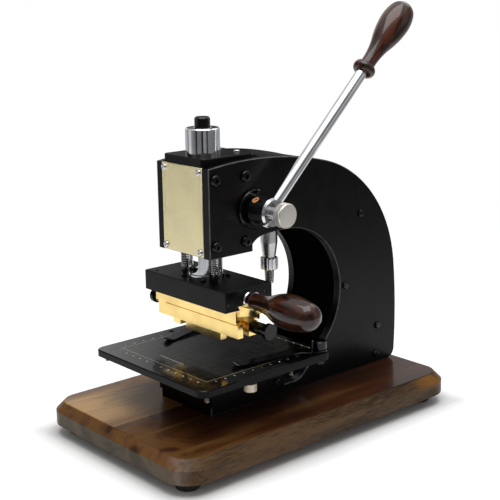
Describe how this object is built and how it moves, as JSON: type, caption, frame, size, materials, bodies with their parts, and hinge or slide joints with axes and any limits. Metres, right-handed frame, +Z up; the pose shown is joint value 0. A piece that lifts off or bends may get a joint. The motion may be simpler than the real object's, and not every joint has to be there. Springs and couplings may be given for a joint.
{
  "type": "hot stamping machine",
  "caption": "Hand cranked bench press for hot foil stamping: C-shaped frame on a board, rack and pinion ram with heater block and type holder over a ruled table.",
  "frame": {"origin": "centre of the board's underside", "axes": "+X to the machine's right, where the lever is; -Y to the front; +Z up"},
  "size_m": [0.235, 0.32, 0.3699],
  "materials": {
    "board_wood": "gloss",
    "foot_rubber": "matte",
    "black_coat": "satin",
    "block_coat": "satin",
    "black_screw": "gloss",
    "steel": "satin",
    "spring_steel": "satin",
    "chrome": "polished",
    "satin_barrel": "satin",
    "plate_brass": "matte",
    "holder_brass": "satin",
    "bush_bronze": "satin",
    "handle_lacquer": "gloss",
    "lead_rubber": "matte"
  },
  "bodies": {
    "frame": {"base_board": "board_wood", "rubber_feet": "foot_rubber", "board_screws": "black_screw", "base_spacer": "black_coat", "cheek_left": "black_coat", "cheek_right": "black_coat", "tie_bars": "steel", "frame_screws": "black_screw", "spine_cover": "black_coat", "throat_wall": "black_coat", "head_block": "black_coat", "head_top_plate": "black_coat", "top_plate_screws": "chrome", "guide_sleeve": "chrome", "cheek_screws": "black_screw", "nameplate": "plate_brass", "nameplate_screws": "chrome", "shaft_bushes": "bush_bronze", "bearing_covers": "black_coat", "upper_spring_plugs": "steel", "table_column": "black_coat", "table_plate": "black_coat", "table_studs": "steel", "hex_nuts": "black_screw", "connector_barrel": "satin_barrel", "connector_nut": "chrome", "strain_relief": "spring_steel"},
    "lever": {"lever_shaft": "steel", "drive_pinion": "steel", "lever_hub": "chrome", "hub_set_screw": "chrome", "hub_cap": "chrome", "lever_rod": "chrome", "handle_collar": "handle_lacquer", "lever_handle": "handle_lacquer"},
    "ram": {"heater_lead": "lead_rubber", "ram_rack": "steel", "ram_stem": "black_screw", "ram_hub": "chrome", "ram_bolt": "black_screw", "heater_block": "block_coat", "heater_block_screws": "black_screw", "heater_cartridges": "steel", "lead_gland": "bush_bronze", "lower_spring_plugs": "steel", "return_springs": "spring_steel", "handle_ferrule": "chrome", "handle_stud": "steel", "side_handle": "handle_lacquer"},
    "die_holder": {"holder_body": "holder_brass", "front_jaw": "holder_brass", "rear_jaw": "holder_brass", "die_and_spacer": "holder_brass"},
    "thumb_left": {"thumb_screw_left": "black_screw"},
    "thumb_right": {"thumb_screw_right": "black_screw"},
    "clip_left": {"table_clip_left": "black_coat"},
    "clip_right": {"table_clip_right": "black_coat"},
    "knob_left": {"clip_knob_left": "black_screw"},
    "knob_right": {"clip_knob_right": "black_screw"},
    "nut": {"table_nut": "steel"}
  },
  "joints": [
    {"name": "lever_turn", "type": "hinge", "parent": "frame", "child": "lever", "pos_m": [0, -0.0295, 0.192], "axis": [1, 0, 0], "range_deg": [0, 70]},
    {"name": "ram_slide", "type": "slide", "parent": "frame", "child": "ram", "axis": [0, 0, -1], "range_m": [0, 0.01833], "stiffness_N_per_m": 600, "springref_m": -0.07, "deforming": ["return_springs"]},
    {"name": "holder_slide", "type": "slide", "parent": "ram", "child": "die_holder", "axis": [-1, 0, 0], "range_m": [0, 0.1]},
    {"name": "thumb_left_turn", "type": "hinge", "parent": "die_holder", "child": "thumb_left", "pos_m": [-0.06, -0.0506, 0.0984], "axis": [1, 0, 0], "continuous": true},
    {"name": "thumb_right_turn", "type": "hinge", "parent": "die_holder", "child": "thumb_right", "pos_m": [0.06, -0.0506, 0.0984], "axis": [1, 0, 0], "continuous": true},
    {"name": "clip_left_swing", "type": "hinge", "parent": "frame", "child": "clip_left", "pos_m": [-0.066, 0.018, 0.064], "axis": [0, 0, -1], "range_deg": [0, 60]},
    {"name": "clip_right_swing", "type": "hinge", "parent": "frame", "child": "clip_right", "pos_m": [0.066, 0.018, 0.064], "axis": [0, 0, 1], "range_deg": [0, 60]},
    {"name": "clip_knob_left_turn", "type": "hinge", "parent": "frame", "child": "knob_left", "pos_m": [-0.066, 0.018, 0.068], "axis": [0, 0, 1], "continuous": true},
    {"name": "clip_knob_right_turn", "type": "hinge", "parent": "frame", "child": "knob_right", "pos_m": [0.066, 0.018, 0.068], "axis": [0, 0, 1], "continuous": true},
    {"name": "table_nut_turn", "type": "hinge", "parent": "frame", "child": "nut", "pos_m": [0.07, -0.066, 0.0527], "axis": [0, 0, 1], "continuous": true}
  ],
  "couplings": [
    {"joint": "ram_slide", "follows": "lever_turn", "m_per_rad": 0.015}
  ]
}
